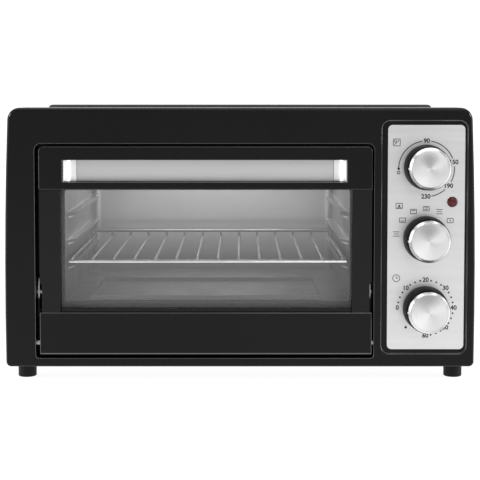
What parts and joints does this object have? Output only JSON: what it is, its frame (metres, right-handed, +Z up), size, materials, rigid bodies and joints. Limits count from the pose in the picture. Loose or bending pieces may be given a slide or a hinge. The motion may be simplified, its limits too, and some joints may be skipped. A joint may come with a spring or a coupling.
{
  "type": "toaster oven",
  "caption": "Countertop toaster oven with a drop-down glass door, recessed handle, wire rack and a column of rotary controls.",
  "frame": {"origin": "on the table, under the centre of the oven's bounding box", "axes": "+X to the right seen from the front, +Y from the door to the back, +Z up"},
  "size_m": [0.4574, 0.334, 0.267],
  "materials": {
    "black_plastic": "semi-gloss moulded black",
    "black_paint": "satin black paint",
    "brushed_steel": "brushed",
    "polished_steel": "polished",
    "chamber_steel": "bright aluminised sheet, slightly dulled",
    "chrome_wire": "plated wire",
    "zinc_steel": "zinc plated sheet",
    "heater_sheath": "dull oxidised sheath",
    "rubber": "matte",
    "red_lens": "clear dark red lens",
    "resin": "pale phenolic",
    "glass": "clear tempered"
  },
  "bodies": {
    "oven_body": {"base_plate": "zinc_steel", "cavity_back": "chamber_steel", "cavity_bottom": "chamber_steel", "cavity_ceiling": "chamber_steel", "cavity_floor": "chamber_steel", "cavity_side_left": "chamber_steel", "cavity_side_right": "chamber_steel", "chassis_front": "zinc_steel", "control_panel": "brushed_steel", "cord_gland": "black_plastic", "foot_front_left": "rubber", "foot_front_right": "rubber", "foot_rear_left": "rubber", "foot_rear_right": "rubber", "front_bezel": "black_plastic", "function_switch": "resin", "heater_lower_front": "heater_sheath", "heater_lower_rear": "heater_sheath", "heater_upper_front": "heater_sheath", "heater_upper_rear": "heater_sheath", "hinge_bracket_left": "zinc_steel", "hinge_bracket_right": "zinc_steel", "indicator_holder": "black_plastic", "indicator_lens": "red_lens", "outer_casing": "black_paint", "rear_cover": "black_paint", "rear_screw_1": "zinc_steel", "rear_screw_2": "zinc_steel", "rear_screw_3": "zinc_steel", "rear_screw_4": "zinc_steel", "terminal_block": "resin", "thermostat": "zinc_steel", "timer": "zinc_steel", "timer_bell": "polished_steel"},
    "door": {"door_bottom_rail": "black_plastic", "door_glass": "glass", "door_handle": "black_plastic", "door_inner_frame": "black_paint", "door_stile_left": "black_paint", "door_stile_right": "black_paint", "handle_end_left": "polished_steel", "handle_end_right": "polished_steel", "handle_plate": "brushed_steel", "hinge_arm_left": "zinc_steel", "hinge_arm_right": "zinc_steel", "hinge_pin_left": "zinc_steel", "hinge_pin_right": "zinc_steel", "window_bead": "black_paint"},
    "rack": {"wire_rack": "chrome_wire", "rack_back_rail": "chrome_wire"},
    "crumb_tray": {"crumb_tray": "chamber_steel"},
    "temperature_knob": {"temperature_knob": "black_plastic", "temperature_knob_cap": "brushed_steel", "temperature_shaft": "zinc_steel"},
    "function_knob": {"function_knob": "black_plastic", "function_knob_cap": "brushed_steel", "function_shaft": "zinc_steel"},
    "timer_knob": {"timer_knob": "black_plastic", "timer_knob_cap": "brushed_steel", "timer_shaft": "zinc_steel"}
  },
  "joints": [
    {"name": "door_hinge", "type": "hinge", "parent": "oven_body", "child": "door", "pos_m": [-0.03325, -0.134, 0.037], "axis": [1, 0, 0], "range_deg": [0, 90]},
    {"name": "rack_slide", "type": "slide", "parent": "oven_body", "child": "rack", "axis": [0, -1, 0], "range_m": [0, 0.118]},
    {"name": "tray_slide", "type": "slide", "parent": "oven_body", "child": "crumb_tray", "axis": [0, -1, 0], "range_m": [0, 0.06]},
    {"name": "temperature_turn", "type": "hinge", "parent": "oven_body", "child": "temperature_knob", "pos_m": [0.1804, -0.139, 0.2088], "axis": [0, 1, 0], "range_deg": [0, 270]},
    {"name": "function_turn", "type": "hinge", "parent": "oven_body", "child": "function_knob", "pos_m": [0.1804, -0.139, 0.1395], "axis": [0, 1, 0], "range_deg": [0, 143]},
    {"name": "timer_turn", "type": "hinge", "parent": "oven_body", "child": "timer_knob", "pos_m": [0.1804, -0.139, 0.0712], "axis": [0, 1, 0], "range_deg": [-45, 270]}
  ],
  "couplings": [
    {"joint": "rack_slide", "follows": "door_hinge", "m_per_rad": 0.075},
    {"joint": "tray_slide", "follows": "door_hinge", "m_per_rad": 0.038}
  ]
}
